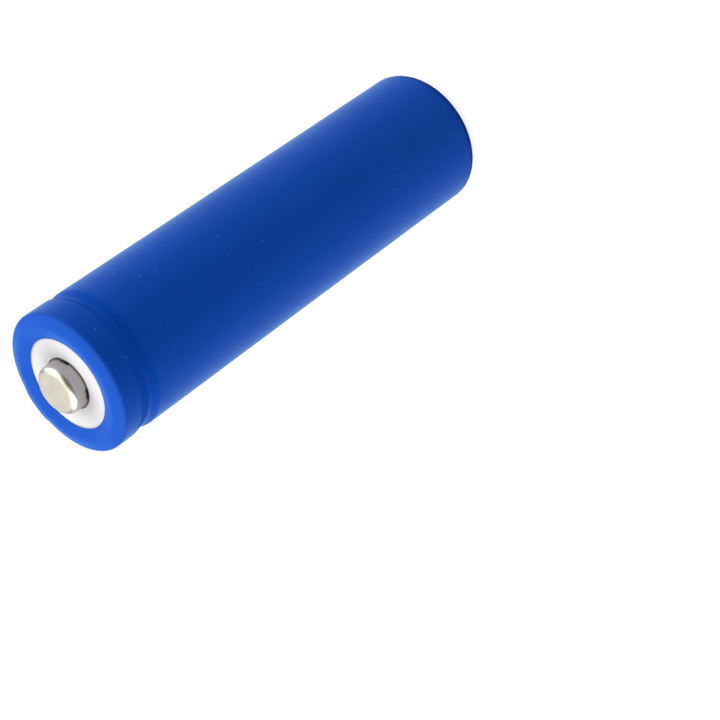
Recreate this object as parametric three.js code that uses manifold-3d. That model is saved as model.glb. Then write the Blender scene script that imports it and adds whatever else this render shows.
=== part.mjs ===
// A protected lithium-ion cell of the 18 mm by 65 mm class, with a raised positive button.
// It stands on its negative contact: millimetres, +Z up, origin at the centre of that contact's face.
// Every round piece is turned about the Z axis with the same flats, so that thin films nest without touching.

import * as THREE from "three";
import { mergeVertices } from "three/addons/utils/BufferGeometryUtils.js";
import Module from "manifold-3d";

const wasm = await Module();
wasm.setup();

// ---- Driving dimensions ----

const FLATS = 36; // flats round a turned piece
const FIT = 0.02; // gap between faces that touch
const QUARTER = Math.PI / 2;

// The sleeve, which sets the outside of the cell
const SLEEVE_RADIUS = 9.2;
const SLEEVE_BOTTOM = 0.1;
const SLEEVE_TOP = 67.55;
const FILM = 0.13;
const BOTTOM_SHOULDER = 1.5;
const TOP_SHOULDER = 1.3;
const BOTTOM_OPENING = 6.65;
const TOP_OPENING = 6.02;
const COLLAR_SWELL = 0.05; // the crimped collar is this much bigger than the body

// The bead groove under the collar
const GROOVE_HEIGHT = 62.63;
const GROOVE_STEPS = 6;
const CAN_GROOVE = { depth: 1.25, reach: 1.55 };
const FILM_GROOVE = { depth: 0.7, reach: 1.6 };
const STRIP_GROOVE = { depth: 0.8, reach: 1.6 };

// The crimped rim slopes down towards the button, and what lies on it slopes with it
const RIM_DIP = { depth: 0.42, outer: 8.0, inner: 6.2 };

// The steel can
const CAN_RADIUS = 9.0;
const CAN_WALL = 0.25;
const CAN_BOTTOM = 2.35;
const CAN_TOP = 66.85;
const CAN_CORNER = 0.8;
const CRIMP_OPENING = 7.0;
const CAN_FLOOR = CAN_BOTTOM + CAN_WALL;

// The button and the cap under it
const BUTTON_TOP = 69.1;
const BUTTON_RADIUS = 3.2;
const BUTTON_EDGE = 0.8;
const BUTTON_WALL = 0.3;
const BUTTON_FLANGE_RADIUS = 4.3;
const BUTTON_FLANGE_TOP = 66.62;
const BUTTON_VENTS = { count: 4, width: 1.6, height: 0.5, above: 0.06 };
const CAP_TOP = 66.18;
const CAP_WALL = 0.35;
const CAP_FLANGE_TOP = 65.78;
const CAP_RADIUS = 8.15;
const CAP_SLOPE = { foot: 6.0, head: 5.2 };
const CAP_VENTS = { count: 3, radius: 0.45, circle: 5.4 };

// The rolled electrodes
const ROLL_BOTTOM = 3.0;
const ROLL_TOP = 60.48;
const ROLL_CORE = 1.95;
const ROLL_TURNS = 7;
const TURN_PITCH = 0.846;
const ROLL_FLATS = 16; // flats in one turn
const SEPARATOR = 0.08;
const CATHODE = 0.31;
const ANODE = 0.28;
const PIN_RADIUS = 1.6;
const PIN_WALL = 0.25;
const PIN_INSET = 0.05;

// The strip that brings the positive pole down the side
const STRIP_THICKNESS = 0.08;
const STRIP_OUTSIDE = 9.15;
const STRIP_HALF_ANGLE = THREE.MathUtils.degToRad(9.6);
const STRIP_DIRECTION = QUARTER; // along +Y
const RIDGE = 0.1; // how far the film stands out over the strip

// The protection board and the contact disc under it
const DISC_RADIUS = 6.45;
const DISC_THICKNESS = 0.35;
const BOARD_RADIUS = 8.2;
const BOARD_THICKNESS = 0.6;
const BOARD_BOTTOM = DISC_THICKNESS + FIT;
const BOARD_TOP = BOARD_BOTTOM + BOARD_THICKNESS;

// ---- Outlines in the plane of radius and height ----

const at = (radius, height) => new THREE.Vector2(radius, height);

// Points on a round corner, from one angle to another.
function corner(radius, height, size, from, to, steps = 3) {
  return Array.from({ length: steps + 1 }, (_, i) => {
    const angle = from + ((to - from) * i) / steps;
    return at(radius + size * Math.cos(angle), height + size * Math.sin(angle));
  });
}

// Points up the side through the bead groove: a smooth dip that ends on the slightly bigger collar.
function throughGroove(radius, { depth, reach }) {
  return Array.from({ length: GROOVE_STEPS + 1 }, (_, i) => {
    const along = i / GROOVE_STEPS;
    const dip = (depth * (1 - Math.cos(2 * Math.PI * along))) / 2;
    const height = GROOVE_HEIGHT + reach * (2 * along - 1);
    return at(radius + COLLAR_SWELL * along - dip, height);
  });
}

// How far a surface on the crimped rim has dipped at a radius.
function rimDip(radius) {
  const { depth, outer, inner } = RIM_DIP;
  return depth * THREE.MathUtils.clamp((outer - radius) / (outer - inner), 0, 1);
}

// Points across the crimped rim from one radius to a smaller one, at a height that dips with the rim.
function acrossRim(from, to, height) {
  const bends = [RIM_DIP.outer, RIM_DIP.inner].filter((radius) => radius < from && radius > to);
  return [from, ...bends, to].map((radius) => at(radius, height - rimDip(radius)));
}

// The unit vector to the left of the way from one point to the next.
function leftOf(from, to) {
  const way = to.clone().sub(from).normalize();
  return at(-way.y, way.x);
}

// An outline moved to its left by a thickness, with mitred corners.
function moved(outline, thickness) {
  const last = outline.length - 1;
  return outline.map((point, i) => {
    const before = leftOf(outline[Math.max(i - 1, 0)], outline[Math.max(i, 1)]);
    const after = leftOf(outline[Math.min(i, last - 1)], outline[Math.min(i + 1, last)]);
    const mitre = before.clone().add(after).normalize();
    return point.clone().addScaledVector(mitre, thickness / mitre.dot(after));
  });
}

// The closed profile of a wall behind an outline that runs anticlockwise.
function wall(outline, thickness) {
  const inside = moved(outline, thickness).reverse();
  if (outline[0].x === 0) {
    return [...outline, ...inside];
  }
  if (outline.at(-1).x === 0) {
    return [...inside, ...outline];
  }
  return [...outline, ...inside, outline[0]];
}

function discProfile(radius, bottom, top) {
  return [at(0, bottom), at(radius, bottom), at(radius, top), at(0, top)];
}

function ringProfile(inner, outer, bottom, top) {
  return [at(inner, bottom), at(outer, bottom), at(outer, top), at(inner, top), at(inner, bottom)];
}

// A ring of even thickness that lies on the crimped rim.
function rimRingProfile(inner, outer, bottom, top) {
  const upper = acrossRim(outer, inner, top);
  const lower = acrossRim(outer, inner, bottom).reverse();
  return [...lower, ...upper, lower[0]];
}

// ---- Solids ----

// A profile turned about the Z axis.
function turned(profile, flats = FLATS) {
  return new THREE.LatheGeometry(profile, flats).rotateX(QUARTER);
}

// An outline in plan, raised from one height to another.
function raised(shape, bottom, top, curveSegments = 12) {
  const settings = { depth: top - bottom, bevelEnabled: false, curveSegments };
  return new THREE.ExtrudeGeometry(shape, settings).translate(0, 0, bottom);
}

// A flat strip bent along a path of (x, z) points, centred on y = 0.
function bentStrip(path, thickness, width) {
  const edge = [...path, ...moved(path, thickness).reverse()];
  const settings = { depth: width, bevelEnabled: false };
  const strip = new THREE.ExtrudeGeometry(new THREE.Shape(edge), settings);
  return strip.rotateX(QUARTER).translate(0, width / 2, 0);
}

function block(width, depth, height, x, y, bottom) {
  return new THREE.BoxGeometry(width, depth, height).translate(x, y, bottom + height / 2);
}

function toSolid(geometry) {
  const bare = geometry.clone();
  bare.deleteAttribute("normal");
  bare.deleteAttribute("uv");
  const merged = mergeVertices(bare);
  const vertProperties = merged.attributes.position.array;
  const triVerts = new Uint32Array(merged.index.array);
  return new wasm.Manifold(new wasm.Mesh({ numProp: 3, vertProperties, triVerts }));
}

function toGeometry(solid) {
  const { vertProperties, triVerts } = solid.getMesh();
  const geometry = new THREE.BufferGeometry();
  geometry.setAttribute("position", new THREE.BufferAttribute(vertProperties, 3));
  geometry.setIndex(new THREE.BufferAttribute(triVerts, 1));
  geometry.computeVertexNormals();
  return geometry;
}

function cut(geometry, tools) {
  const solid = tools.reduce((rest, tool) => rest.subtract(toSolid(tool)), toSolid(geometry));
  return toGeometry(solid);
}

// The part of a turned piece that lies within an angle of one direction.
function sector(geometry, direction, halfAngle) {
  const reach = 2 * SLEEVE_RADIUS;
  const corners = [-halfAngle, halfAngle].map((turn) =>
    at(reach * Math.cos(direction + turn), reach * Math.sin(direction + turn)),
  );
  const wedge = raised(new THREE.Shape([at(0, 0), ...corners]), -BUTTON_TOP, 2 * BUTTON_TOP);
  return toGeometry(toSolid(geometry).intersect(toSolid(wedge)));
}

// Copies of one cutting tool, spaced evenly round the Z axis.
function spaced(count, makeTool) {
  return Array.from({ length: count }, (_, i) => makeTool().rotateZ((2 * Math.PI * (i + 0.5)) / count));
}

// ---- The sleeve, washer and button ----

// The film stands out over the strip: the columns of points that cover the strip move out together.
function ridgeOverStrip(geometry) {
  const points = geometry.attributes.position;
  const column = (2 * Math.PI) / FLATS;
  for (let i = 0; i < points.count; i += 1) {
    const x = points.getX(i);
    const y = points.getY(i);
    const radius = Math.hypot(x, y);
    const away = Math.abs(Math.atan2(y, x) - STRIP_DIRECTION);
    if (radius > CAN_RADIUS - CAN_CORNER && away < 1.1 * column) {
      points.setX(i, (x * (radius + RIDGE)) / radius);
      points.setY(i, (y * (radius + RIDGE)) / radius);
    }
  }
  return geometry;
}

function outerSleeve() {
  const collar = SLEEVE_RADIUS + COLLAR_SWELL;
  const outline = [
    at(BOTTOM_OPENING, SLEEVE_BOTTOM),
    ...corner(
      SLEEVE_RADIUS - BOTTOM_SHOULDER,
      SLEEVE_BOTTOM + BOTTOM_SHOULDER,
      BOTTOM_SHOULDER,
      -QUARTER,
      0,
    ),
    ...throughGroove(SLEEVE_RADIUS, FILM_GROOVE),
    ...corner(collar - TOP_SHOULDER, SLEEVE_TOP - TOP_SHOULDER, TOP_SHOULDER, 0, QUARTER),
    ...acrossRim(collar - TOP_SHOULDER, TOP_OPENING, SLEEVE_TOP).slice(1),
  ];
  return ridgeOverStrip(turned(wall(outline, FILM)));
}

const WASHER = { inner: 3.4, outer: 8.1, bottom: 67.11, top: 67.38 };

function topWasher() {
  return turned(rimRingProfile(WASHER.inner, WASHER.outer, WASHER.bottom, WASHER.top));
}

function positiveButton() {
  const outline = [
    at(BUTTON_FLANGE_RADIUS, BUTTON_FLANGE_TOP),
    at(BUTTON_RADIUS, BUTTON_FLANGE_TOP),
    ...corner(BUTTON_RADIUS - BUTTON_EDGE, BUTTON_TOP - BUTTON_EDGE, BUTTON_EDGE, 0, QUARTER),
    at(0, BUTTON_TOP),
  ];
  const { count, width, height, above } = BUTTON_VENTS;
  const through = 5 * BUTTON_WALL;
  const vents = spaced(count, () =>
    block(through, width, height, BUTTON_RADIUS, 0, BUTTON_FLANGE_TOP + above),
  );
  return cut(turned(wall(outline, BUTTON_WALL)), vents);
}

// ---- The crimped cap stack ----

function steelCan() {
  const collar = CAN_RADIUS + COLLAR_SWELL;
  const outline = [
    at(0, CAN_BOTTOM),
    ...corner(CAN_RADIUS - CAN_CORNER, CAN_BOTTOM + CAN_CORNER, CAN_CORNER, -QUARTER, 0),
    ...throughGroove(CAN_RADIUS, CAN_GROOVE),
    ...corner(collar - CAN_CORNER, CAN_TOP - CAN_CORNER, CAN_CORNER, 0, QUARTER),
    ...acrossRim(collar - CAN_CORNER, CRIMP_OPENING, CAN_TOP).slice(1),
  ];
  return turned(wall(outline, CAN_WALL));
}

const GASKET = { outer: 8.7, web: 8.25, corner: 0.5 };
const GASKET_BASE = { inner: 6.5, bottom: 64.18, top: 64.63 };
const GASKET_LIP = { inner: 6.7, bottom: CAP_FLANGE_TOP + FIT, top: 66.55 };

function crimpGasket() {
  return turned([
    at(GASKET_BASE.inner, GASKET_BASE.bottom),
    at(GASKET.outer, GASKET_BASE.bottom),
    ...corner(GASKET.outer - GASKET.corner, GASKET_LIP.top - GASKET.corner, GASKET.corner, 0, QUARTER, 2),
    ...acrossRim(GASKET.outer - GASKET.corner, GASKET_LIP.inner, GASKET_LIP.top).slice(1),
    at(GASKET_LIP.inner, GASKET_LIP.bottom),
    at(GASKET.web, GASKET_LIP.bottom),
    at(GASKET.web, GASKET_BASE.top),
    at(GASKET_BASE.inner, GASKET_BASE.top),
    at(GASKET_BASE.inner, GASKET_BASE.bottom),
  ]);
}

function topCap() {
  const outline = [
    at(CAP_RADIUS, CAP_FLANGE_TOP),
    at(CAP_SLOPE.foot, CAP_FLANGE_TOP),
    at(CAP_SLOPE.head, CAP_TOP),
    at(0, CAP_TOP),
  ];
  const { count, radius, circle } = CAP_VENTS;
  const vents = spaced(count, () => {
    const drill = new THREE.CylinderGeometry(radius, radius, 6 * CAP_WALL, 12).rotateX(QUARTER);
    return drill.translate(circle, 0, CAP_FLANGE_TOP);
  });
  return cut(turned(wall(outline, CAP_WALL)), vents);
}

const DIAPHRAGM = { rimTop: 64.9, wall: 0.25, webTop: 64.47, centreTop: 64.26 };
const DIAPHRAGM_RADII = { rim: 5.0, webOuter: 4.2, webInner: 1.5, centre: 1.1 };

// A thin dished disc: its middle reaches down to the weld plate and snaps up when the gas pressure rises.
function ventDiaphragm() {
  const { rim, webOuter, webInner, centre } = DIAPHRAGM_RADII;
  const outline = [
    at(CAP_RADIUS, DIAPHRAGM.rimTop),
    at(rim, DIAPHRAGM.rimTop),
    at(webOuter, DIAPHRAGM.webTop),
    at(webInner, DIAPHRAGM.webTop),
    at(centre, DIAPHRAGM.centreTop),
    at(0, DIAPHRAGM.centreTop),
  ];
  return turned(wall(outline, DIAPHRAGM.wall));
}

const PTC_OPENING = 5.3;

function ptcRing() {
  const bottom = DIAPHRAGM.rimTop + FIT;
  return turned(ringProfile(PTC_OPENING, CAP_RADIUS, bottom, CAP_FLANGE_TOP - CAP_WALL - FIT));
}

const WELD_PLATE = { radius: 6.2, bottom: 63.68, top: 63.98, holes: 6, holeRadius: 0.7, holeCircle: 3.9 };
const CID_RING = { inner: 5.1, outer: GASKET_BASE.inner - 0.1 };

function cidInsulator() {
  return turned(ringProfile(CID_RING.inner, CID_RING.outer, WELD_PLATE.top + FIT, GASKET_BASE.top));
}

function weldPlate() {
  const { radius, bottom, top, holes, holeRadius, holeCircle } = WELD_PLATE;
  const plate = new THREE.Shape();
  plate.absarc(0, 0, radius, 0, 2 * Math.PI);
  for (let i = 0; i < holes; i += 1) {
    const angle = (2 * Math.PI * i) / holes;
    const hole = new THREE.Path();
    hole.absarc(holeCircle * Math.cos(angle), holeCircle * Math.sin(angle), holeRadius, 0, 2 * Math.PI);
    plate.holes.push(hole);
  }
  return raised(plate, bottom, top, 8);
}

// ---- The rolled electrodes and what holds them ----

// The four sheets lie on each other from the inside out, and the stack is wound up together.
const SHEET_GAP = (TURN_PITCH - 2 * SEPARATOR - CATHODE - ANODE) / 4;
const CATHODE_LAYER = SEPARATOR + SHEET_GAP;
const OUTER_SEPARATOR_LAYER = CATHODE_LAYER + CATHODE + SHEET_GAP;
const ANODE_LAYER = OUTER_SEPARATOR_LAYER + SEPARATOR + SHEET_GAP;

// One wound sheet. layer is its depth in the stack; shortBy is how many flats it stops short at each end;
// inset is how far it stays inside the separators' height.
function woundSheet(layer, thickness, shortBy, inset) {
  const edge = (extra) => {
    const points = [];
    for (let i = shortBy; i <= ROLL_TURNS * ROLL_FLATS - shortBy; i += 1) {
      const angle = (2 * Math.PI * i) / ROLL_FLATS;
      const radius = ROLL_CORE + layer + extra + (TURN_PITCH * i) / ROLL_FLATS;
      points.push(at(radius * Math.cos(angle), radius * Math.sin(angle)));
    }
    return points;
  };
  const outline = new THREE.Shape([...edge(thickness), ...edge(0).reverse()]);
  return raised(outline, ROLL_BOTTOM + inset, ROLL_TOP - inset);
}

// A steel tube with a slit down its side.
function centerPin() {
  const halfSlit = 0.25;
  const outline = new THREE.Shape();
  outline.absarc(0, 0, PIN_RADIUS, halfSlit, 2 * Math.PI - halfSlit);
  outline.absarc(0, 0, PIN_RADIUS - PIN_WALL, 2 * Math.PI - halfSlit, halfSlit, true);
  outline.closePath();
  return raised(outline, ROLL_BOTTOM + PIN_INSET, ROLL_TOP - PIN_INSET, 8);
}

const ROLL_TAPE = { inner: 8.57, thickness: 0.06, bottom: 8, top: 56, halfAngle: 35 };

function rollTape() {
  const { inner, thickness, bottom, top, halfAngle } = ROLL_TAPE;
  const band = turned(ringProfile(inner, inner + thickness, bottom, top));
  return sector(band, 0, THREE.MathUtils.degToRad(halfAngle));
}

const TOP_TAB = { x: 4.4, width: 3.6, thickness: 0.12 };
const BOTTOM_TAB = { x: -6.8, width: 3.6, thickness: 0.1 };

// A thin disc with a hole over the core and a slot that a tab passes through.
function slottedDisc({ radius, bottom, top }, tab) {
  const slotSize = 0.8;
  const core = turned(discProfile(PIN_RADIUS, bottom - 1, top + 1), 20);
  const slot = block(slotSize, tab.width + slotSize, 3, tab.x, 0, bottom - 1);
  return cut(turned(discProfile(radius, bottom, top)), [core, slot]);
}

const TOP_INSULATOR = { radius: 8.4, bottom: ROLL_TOP + 0.05, top: ROLL_TOP + 0.3 };
const BOTTOM_INSULATOR = { radius: 8.1, bottom: CAN_FLOOR + 0.16, top: ROLL_BOTTOM - 0.04 };

// The tab rises through the disc, runs across, and folds back under the weld plate.
function positiveTab() {
  const { x, width, thickness } = TOP_TAB;
  const acrossHeight = ROLL_TOP + 1.3;
  const weldHeight = WELD_PLATE.bottom - thickness - 2 * FIT;
  const foldSize = (weldHeight - acrossHeight) / 2;
  const foldX = -1.6;
  const bend = 0.5;
  const path = [
    at(x, ROLL_TOP + FIT),
    ...corner(x - bend, acrossHeight - bend, bend, 0, QUARTER),
    ...corner(foldX, acrossHeight + foldSize, foldSize, 3 * QUARTER, QUARTER, 6),
    at(-foldX, weldHeight),
  ];
  return bentStrip(path, thickness, width);
}

// The tab comes down through the lower disc and runs to the middle of the can's floor.
function negativeTab() {
  const { x, width, thickness } = BOTTOM_TAB;
  const bend = 0.15;
  const floor = CAN_FLOOR + FIT;
  const path = [
    at(x, ROLL_BOTTOM - FIT),
    ...corner(x + bend, floor + bend, bend, Math.PI, 3 * QUARTER, 2),
    at(2, floor),
  ];
  return bentStrip(path, thickness, width);
}

// ---- The protection board group ----

const PART_BOTTOM = BOARD_TOP + FIT; // the underside of what is soldered to the board
const SPACER = { inner: 7.9, outer: 8.7, bottom: BOARD_TOP + 0.18, top: 2.05 };
const BOARD_INSULATOR = { inner: 2.6, outer: 8.7, bottom: 2.1, top: 2.3 };

function negativeDisc() {
  const bevel = 0.3;
  return turned([
    at(0, 0),
    ...corner(DISC_RADIUS - bevel, bevel, bevel, -QUARTER, 0),
    at(DISC_RADIUS, DISC_THICKNESS),
    at(0, DISC_THICKNESS),
  ]);
}

// A stepped strip from the can's floor, down through the insulator's hole, to the board.
function negativeLink() {
  const thickness = 0.1;
  const width = 2.5;
  const bend = 0.3;
  const upper = CAN_BOTTOM - 0.03;
  const lower = PART_BOTTOM + thickness;
  const stepX = 2.0;
  const footLength = 2.4;
  const path = [
    at(stepX + footLength, lower),
    ...corner(stepX + bend, lower + bend, bend, 3 * QUARTER, Math.PI),
    ...corner(stepX - bend, upper - bend, bend, 0, QUARTER),
    at(-stepX, upper),
  ];
  return bentStrip(path, thickness, width);
}

// The strip runs from the board, up the side under the film, over the crimp and under the button's flange.
function senseStrip() {
  const boardEnd = 7.0;
  const lowBend = 0.64;
  const highBend = 0.95;
  const stepHead = 5.3;
  const stepFoot = 4.7;
  const weldEnd = 3.6;
  const collar = STRIP_OUTSIDE + COLLAR_SWELL;
  const overCrimp = WASHER.bottom - 0.04;
  const underFlange = CAP_TOP + FIT + STRIP_THICKNESS + 0.01;
  const outline = [
    at(boardEnd, PART_BOTTOM),
    ...corner(STRIP_OUTSIDE - lowBend, PART_BOTTOM + lowBend, lowBend, -QUARTER, 0),
    ...throughGroove(STRIP_OUTSIDE, STRIP_GROOVE),
    ...corner(collar - highBend, overCrimp - highBend, highBend, 0, QUARTER),
    ...acrossRim(collar - highBend, stepHead, overCrimp).slice(1),
    at(stepFoot, underFlange),
    at(weldEnd, underFlange),
  ];
  return sector(turned(wall(outline, STRIP_THICKNESS)), STRIP_DIRECTION, STRIP_HALF_ANGLE);
}

const STRIP_TAPE = { gap: 0.01, thickness: 0.04, bottom: 3.3, top: 60.9 };

// The tape that keeps the strip off the can.
function stripInsulator() {
  const inner = CAN_RADIUS + STRIP_TAPE.gap;
  const tape = turned(ringProfile(inner, inner + STRIP_TAPE.thickness, STRIP_TAPE.bottom, STRIP_TAPE.top));
  return sector(tape, STRIP_DIRECTION, 2 * STRIP_HALF_ANGLE);
}

const RIM_PAPER = { inner: 5.5, outer: 8.2, thickness: 0.08 };

function crimpInsulator() {
  const bottom = CAN_TOP + FIT;
  return turned(rimRingProfile(RIM_PAPER.inner, RIM_PAPER.outer, bottom, bottom + RIM_PAPER.thickness));
}

// ---- The assembly ----

const steel = { color: 0xb4b4b0, roughness: 0.35, metalness: 1 };
const nickel = { color: 0xc9c3b2, roughness: 0.28, metalness: 1 };
const aluminium = { color: 0xcfd2d6, roughness: 0.4, metalness: 1 };
const clearFilm = { color: 0xe8ebee, roughness: 0.35, metalness: 0 };
const paper = { color: 0x9fa48c, roughness: 0.9, metalness: 0 };
const insulator = { color: 0xdde2dc, roughness: 0.6, metalness: 0 };

const cell = new THREE.Group();

function add(name, geometry, finish) {
  const mesh = new THREE.Mesh(geometry, new THREE.MeshStandardMaterial(finish));
  mesh.name = name;
  cell.add(mesh);
}

add("outer_sleeve", outerSleeve(), { color: 0x144bb0, roughness: 0.4, metalness: 0 });
add("top_washer", topWasher(), { color: 0xe9e7ea, roughness: 0.75, metalness: 0 });
add("positive_button", positiveButton(), nickel);
add("negative_disc", negativeDisc(), { color: 0xaaa591, roughness: 0.45, metalness: 1 });

add("steel_can", steelCan(), steel);
add("crimp_gasket", crimpGasket(), { color: 0xd8dde0, roughness: 0.5, metalness: 0 });
add("top_cap", topCap(), steel);
add("ptc_ring", ptcRing(), { color: 0x3b3a38, roughness: 0.7, metalness: 0 });
add("vent_diaphragm", ventDiaphragm(), aluminium);
add("cid_insulator", cidInsulator(), { color: 0xdfe3e0, roughness: 0.5, metalness: 0 });
add("weld_plate", weldPlate(), aluminium);

add("separator_inner", woundSheet(0, SEPARATOR, 0, 0), clearFilm);
add("cathode_sheet", woundSheet(CATHODE_LAYER, CATHODE, 6, 0.8), {
  color: 0x2c2b2d,
  roughness: 0.85,
  metalness: 0,
});
add("separator_outer", woundSheet(OUTER_SEPARATOR_LAYER, SEPARATOR, 0, 0), clearFilm);
add("anode_sheet", woundSheet(ANODE_LAYER, ANODE, 3, 0.4), {
  color: 0x4a4744,
  roughness: 0.8,
  metalness: 0,
});
add("center_pin", centerPin(), steel);
add("roll_tape", rollTape(), { color: 0xd9b44a, roughness: 0.4, metalness: 0 });
add("top_insulator", slottedDisc(TOP_INSULATOR, TOP_TAB), insulator);
add("bottom_insulator", slottedDisc(BOTTOM_INSULATOR, BOTTOM_TAB), insulator);
add("positive_tab", positiveTab(), aluminium);
add("negative_tab", negativeTab(), nickel);

const boardDisc = turned(discProfile(BOARD_RADIUS, BOARD_BOTTOM, BOARD_TOP));
add("protection_board", boardDisc, { color: 0x1f5a3a, roughness: 0.5, metalness: 0 });
const chip = { color: 0x1c1c1e, roughness: 0.5, metalness: 0 };
const ceramic = { color: 0x6a5a48, roughness: 0.6, metalness: 0 };
const TRANSISTOR_SIZE = { width: 3.0, depth: 4.4, height: 0.9 };
const CHIP_SIZE = { width: 2.9, depth: 1.6, height: 0.9 };
const SMALL_PART_SIZE = { width: 1.6, depth: 0.8, height: 0.45 };
[
  ["switch_transistor", TRANSISTOR_SIZE, -3.6, -3.2, chip],
  ["protection_chip", CHIP_SIZE, -3.4, 3.4, chip],
  ["resistor_1", SMALL_PART_SIZE, 2.2, -5.0, ceramic],
  ["resistor_2", SMALL_PART_SIZE, 4.4, -3.6, ceramic],
  ["capacitor", SMALL_PART_SIZE, 2.6, 4.8, ceramic],
].forEach(([name, { width, depth, height }, x, y, finish]) => {
  add(name, block(width, depth, height, x, y, PART_BOTTOM), finish);
});
const spacerRing = turned(ringProfile(SPACER.inner, SPACER.outer, SPACER.bottom, SPACER.top));
add("board_spacer", spacerRing, { color: 0xe2e0d8, roughness: 0.6, metalness: 0 });
const { inner, outer, bottom, top } = BOARD_INSULATOR;
add("board_insulator", turned(ringProfile(inner, outer, bottom, top)), paper);
add("negative_link", negativeLink(), nickel);

add("sense_strip", senseStrip(), nickel);
add("strip_insulator", stripInsulator(), { color: 0xc98f2c, roughness: 0.4, metalness: 0 });
add("crimp_insulator", crimpInsulator(), paper);

export default cell;
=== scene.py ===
# %% [markdown]
# # A button-top lithium cell
# This lesson dresses a small battery cell that was designed in a CAD program. The CAD model is loaded
# first and never changes. What a person can see of the cell, its shrink sleeve, white washer, button
# and contact disc, is modelled again here with smooth, fine surfaces, and every hidden piece gets a
# finish of its own.

import math

import bpy
from mathutils import Matrix, Vector, noise


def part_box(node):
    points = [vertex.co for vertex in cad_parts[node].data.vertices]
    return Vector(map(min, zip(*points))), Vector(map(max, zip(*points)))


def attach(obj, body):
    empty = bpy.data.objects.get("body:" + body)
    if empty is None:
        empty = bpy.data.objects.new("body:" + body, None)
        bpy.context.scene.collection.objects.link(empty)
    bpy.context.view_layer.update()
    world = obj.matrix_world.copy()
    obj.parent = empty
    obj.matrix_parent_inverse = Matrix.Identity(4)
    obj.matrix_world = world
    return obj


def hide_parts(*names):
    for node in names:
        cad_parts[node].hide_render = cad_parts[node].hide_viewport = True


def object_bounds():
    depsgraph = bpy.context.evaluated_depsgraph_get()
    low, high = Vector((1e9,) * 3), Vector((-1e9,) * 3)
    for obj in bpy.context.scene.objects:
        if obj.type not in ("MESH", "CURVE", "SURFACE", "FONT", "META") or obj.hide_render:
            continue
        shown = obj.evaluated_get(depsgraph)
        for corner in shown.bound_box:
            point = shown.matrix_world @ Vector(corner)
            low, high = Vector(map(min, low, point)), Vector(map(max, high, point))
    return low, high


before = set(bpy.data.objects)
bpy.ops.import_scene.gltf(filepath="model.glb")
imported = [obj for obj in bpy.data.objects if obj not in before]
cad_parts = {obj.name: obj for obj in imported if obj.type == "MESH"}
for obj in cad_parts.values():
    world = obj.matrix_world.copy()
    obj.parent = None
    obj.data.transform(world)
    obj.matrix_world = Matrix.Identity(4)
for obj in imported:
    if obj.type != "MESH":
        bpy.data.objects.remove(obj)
cad_low, cad_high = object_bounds()
print("CAD nodes:", len(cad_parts), " height:", round(cad_high.z * 1000, 2), "mm")

# %% [markdown]
# ## Units and small helpers
# Blender works in metres here, and a cell is measured in millimetres, so one constant turns one into
# the other. The CAD says where each piece is: a few helpers read radii and heights from its meshes.

# %% Millimetres and sizes from the CAD
MM = 0.001
SAME_RADIUS = 0.01 * MM  # points this close in radius belong to the same rim
NEAR_AN_END = 1 * MM  # how deep into the sleeve its folded rims reach
SLEEVE_LOW, SLEEVE_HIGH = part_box("outer_sleeve")


def inner_rim(node, low, high):
    """The radius and the top height of the innermost points that a CAD node has between two heights."""
    points = [v.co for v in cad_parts[node].data.vertices if low <= v.co.z <= high]
    radius = min(point.xy.length for point in points)
    top = max(point.z for point in points if point.xy.length < radius + SAME_RADIUS)
    return radius, top


top_opening, top_lip = inner_rim("outer_sleeve", SLEEVE_HIGH.z - NEAR_AN_END, SLEEVE_HIGH.z)
bottom_opening, _ = inner_rim("outer_sleeve", SLEEVE_LOW.z, SLEEVE_LOW.z + NEAR_AN_END)
print("openings:", round(top_opening / MM, 2), "and", round(bottom_opening / MM, 2), "mm in radius")
print("the top lip lies", round((SLEEVE_HIGH.z - top_lip) / MM, 2), "mm under the sleeve's top")

# %% [markdown]
# ## The camera
# The camera is placed by what a photographer would set: how far the positive end is from the lens,
# and how the cell's axis lies in the picture. The axis leans away from the line of sight, and its
# positive end points to the lower left. From those, the camera's own place in the cell's frame is
# worked out by turning the question round.

# %% Place the camera
LENS = 98.0  # millimetres
SENSOR = 36.0  # millimetres
NEAREST = 1 * MM  # anything closer to the lens is cut off
AXIS_TILT = math.radians(53.1)  # between the camera's line of sight and the cell's axis
AXIS_HEADING = math.radians(38.3)  # between the picture's level and the cell's axis
END_FROM_CAMERA = Vector((-34.0, -3.0, -225.5)) * MM  # the sleeve's positive end, seen from the camera


def camera_matrix():
    """The camera's place in the cell's frame, from the cell's place in the camera's frame."""
    level = math.sin(AXIS_TILT)
    across, down = level * math.cos(AXIS_HEADING), level * math.sin(AXIS_HEADING)
    axis = Vector((-across, -down, math.cos(AXIS_TILT)))
    towards_camera = (-END_FROM_CAMERA).normalized()
    front = (towards_camera - axis * towards_camera.dot(axis)).normalized()
    side = axis.cross(-front)
    turn = Matrix((-side, -front, axis)).transposed()
    origin = END_FROM_CAMERA - axis * SLEEVE_HIGH.z
    return (Matrix.Translation(origin) @ turn.to_4x4()).inverted()


bpy.ops.object.select_all(action="DESELECT")
bpy.ops.object.camera_add()
camera = bpy.context.object
camera.name = "studio_camera"
camera.data.lens = LENS
camera.data.sensor_width = SENSOR
camera.data.clip_start = NEAREST
camera.matrix_world = camera_matrix()
bpy.context.scene.camera = camera
print("camera at", [round(x / MM) for x in camera.location], "mm")

# %% [markdown]
# ## Turning pieces on a lathe
# Most of a cell is round, so most pieces start as half a cross-section. One point is extruded along
# the outline, and Spin turns the line about the cell's axis. Spin leaves a seam of doubled points and
# may leave the faces looking inwards, so the doubles are merged and the normals are worked out again
# before any wall is thickened.


# %% Outlines and the lathe
SEAM = 0.0001 * MM  # points closer than this are one point
CUT_EDGE_TURN = math.radians(50)  # a wall's edges that turn more than this are rounded


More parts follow.
